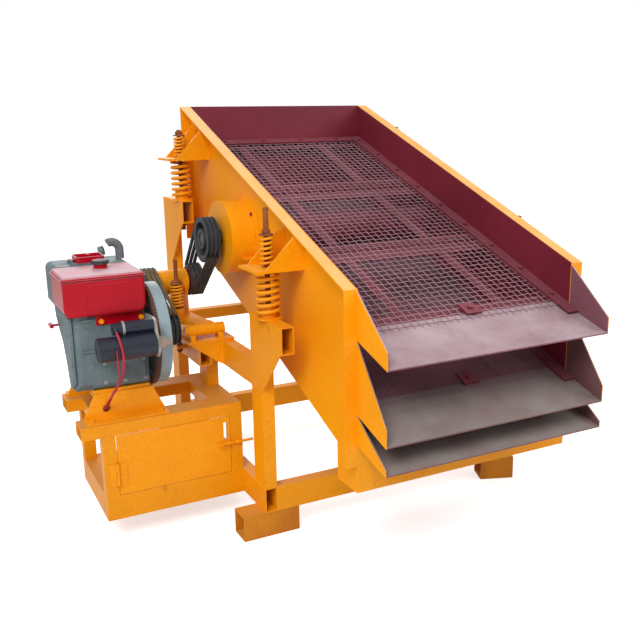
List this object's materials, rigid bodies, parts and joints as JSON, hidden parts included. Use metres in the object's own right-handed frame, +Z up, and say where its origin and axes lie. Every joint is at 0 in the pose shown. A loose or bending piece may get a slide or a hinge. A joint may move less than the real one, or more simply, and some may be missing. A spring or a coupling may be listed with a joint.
{
  "type": "vibrating sieve",
  "caption": "Diesel-driven vibrating sieve with two sloped mesh decks on coil springs, discharge chutes and a belt drive to the exciter",
  "frame": {"origin": "centre of the base, on the ground: the middle of the bounding box in X and Y, at the feet", "axes": "+Z up, +X to the right seen from the discharge end, +Y from the discharge end uphill to the feed end"},
  "size_m": [1.95, 1.828, 1.6551],
  "materials": {
    "yellow_paint": "orange-yellow gloss paint on welded steel, dusty",
    "maroon_paint": "dark red paint with grey dust",
    "screen_wire": "woven wire with worn dark red paint",
    "engine_grey": "blue-grey enamel on castings",
    "engine_red": "crimson enamel on pressed sheet",
    "bare_steel": "dark machined steel and iron",
    "flywheel_grey": "light blue-grey paint on cast iron",
    "rusty_steel": "threaded rod, rusty",
    "starter_black": "near-black enamel",
    "belt_rubber": "matt rubber, dusty",
    "red_cable": "flexible insulated copper cable"
  },
  "bodies": {
    "base": {"floor_frame": "yellow_paint", "corner_posts": "yellow_paint", "feet": "yellow_paint", "spring_beams": "yellow_paint", "frame_rails": "yellow_paint", "stand_frame": "yellow_paint", "stand_floor": "yellow_paint", "door_fittings": "yellow_paint", "pivot_support": "yellow_paint", "tension_rod": "rusty_steel", "tension_spring": "yellow_paint", "spring_rods": "rusty_steel", "spring_cups": "yellow_paint", "main_springs_front": "yellow_paint", "main_springs_rear": "yellow_paint", "rebound_springs_front": "yellow_paint", "rebound_springs_rear": "yellow_paint", "engine_mounts": "yellow_paint", "engine_block": "engine_grey", "engine_covers": "engine_grey", "cylinder_head": "engine_grey", "water_hopper": "engine_grey", "fuel_tank": "engine_red", "exhaust_pipe": "bare_steel", "starter_motor": "starter_black", "starter_bracket": "bare_steel", "starter_cable": "red_cable", "starter_wire": "red_cable", "engine_belt": "belt_rubber", "exciter_belt": "belt_rubber"},
    "screen_box": {"side_plates": "yellow_paint", "rim_flanges": "yellow_paint", "end_plates": "maroon_paint", "bottom_pan": "maroon_paint", "upper_chute": "maroon_paint", "middle_chute": "maroon_paint", "lower_chute": "maroon_paint", "upper_mesh": "screen_wire", "lower_mesh": "screen_wire", "upper_deck_frame": "maroon_paint", "lower_deck_frame": "maroon_paint", "mesh_clamps": "maroon_paint", "box_bolts": "maroon_paint", "exciter_guards": "yellow_paint", "exciter_tube": "maroon_paint", "spring_brackets": "yellow_paint"},
    "exciter": {"exciter_shaft": "bare_steel", "exciter_pulley": "bare_steel"},
    "crank": {"flywheel": "flywheel_grey", "ring_gear": "bare_steel", "engine_pulley": "bare_steel"},
    "arm": {"tension_arm": "yellow_paint"},
    "lay_shaft": {"jackshaft": "bare_steel", "driven_sheave": "bare_steel", "drive_pulley": "bare_steel"},
    "door": {"stand_door": "yellow_paint"},
    "bolt": {"door_bolt": "yellow_paint"},
    "cap": {"tank_cap": "bare_steel"},
    "lid": {"hopper_lid": "engine_red"},
    "knob": {"decompression_knob": "engine_grey"}
  },
  "joints": [
    {"name": "box_bounce", "type": "slide", "parent": "base", "child": "screen_box", "axis": [0, 0, 1], "range_m": [-0.006, 0.006], "stiffness_N_per_m": 160000, "springref_m": 0.027, "deforming": ["main_springs_front", "main_springs_rear", "rebound_springs_front", "rebound_springs_rear", "exciter_belt"]},
    {"name": "exciter_spin", "type": "hinge", "parent": "screen_box", "child": "exciter", "pos_m": [-0.168, 0.241, 1.12], "axis": [1, 0, 0], "continuous": true},
    {"name": "flywheel_spin", "type": "hinge", "parent": "base", "child": "crank", "pos_m": [-0.568, 0.16, 0.779], "axis": [1, 0, 0], "continuous": true},
    {"name": "arm_pivot", "type": "hinge", "parent": "base", "child": "arm", "pos_m": [-0.368, 0.191, 0.752], "axis": [1, 0, 0], "range_deg": [-1.5, 1.5], "stiffness_Nm_per_rad": 4000, "springref_deg": 0.83, "deforming": ["tension_spring", "engine_belt"]},
    {"name": "jackshaft_spin", "type": "hinge", "parent": "arm", "child": "lay_shaft", "pos_m": [-0.428, 0.45, 0.913], "axis": [1, 0, 0], "continuous": true},
    {"name": "door_swing", "type": "hinge", "parent": "base", "child": "door", "pos_m": [-0.815, -0.0255, 0.3], "axis": [0, 0, -1], "range_deg": [0, 110]},
    {"name": "bolt_slide", "type": "slide", "parent": "door", "child": "bolt", "axis": [1, 0, 0], "range_m": [0, 0.02]},
    {"name": "tank_cap_turn", "type": "hinge", "parent": "base", "child": "cap", "pos_m": [-0.779, 0.183, 1.07], "axis": [0, 0, 1], "range_deg": [0, 90]},
    {"name": "hopper_lid_lift", "type": "hinge", "parent": "base", "child": "lid", "pos_m": [-0.862, 0.328, 1.064], "axis": [0, -1, 0], "range_deg": [0, 95]},
    {"name": "decompression_turn", "type": "hinge", "parent": "base", "child": "knob", "pos_m": [-0.968, 0.276, 0.826], "axis": [1, 0, 0], "range_deg": [0, 90]}
  ],
  "couplings": [
    {"joint": "jackshaft_spin", "follows": "flywheel_spin", "ratio": 0.92958},
    {"joint": "exciter_spin", "follows": "flywheel_spin", "ratio": 0.69324}
  ]
}
